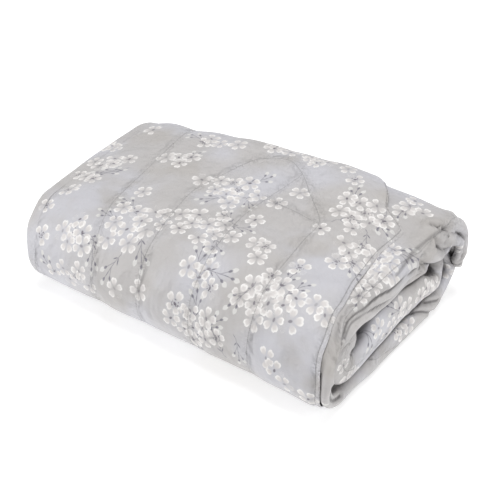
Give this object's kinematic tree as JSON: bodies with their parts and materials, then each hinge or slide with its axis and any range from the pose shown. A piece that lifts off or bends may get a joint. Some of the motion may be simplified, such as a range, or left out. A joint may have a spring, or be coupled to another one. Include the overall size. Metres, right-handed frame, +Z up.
{
  "type": "quilted bedspread",
  "caption": "Light quilted bedspread with a printed cotton face, folded into a layered strip and rolled flat into a soft packet, with its hems and folds open at one end.",
  "frame": {"origin": "centre of the packet's bounding box in plan, on the surface it lies on", "axes": "+X along the packet from its smooth folded end to its open layered end, +Y from the round front fold to the back, +Z up"},
  "size_m": [0.6486, 0.4414, 0.1868],
  "materials": {
    "quilted_cotton": "soft satin-woven cotton, silver-grey with off-white blossom print, quilted in wavy lines"
  },
  "bodies": {
    "root": {"quilted_bedspread": "quilted_cotton"}
  },
  "joints": []
}
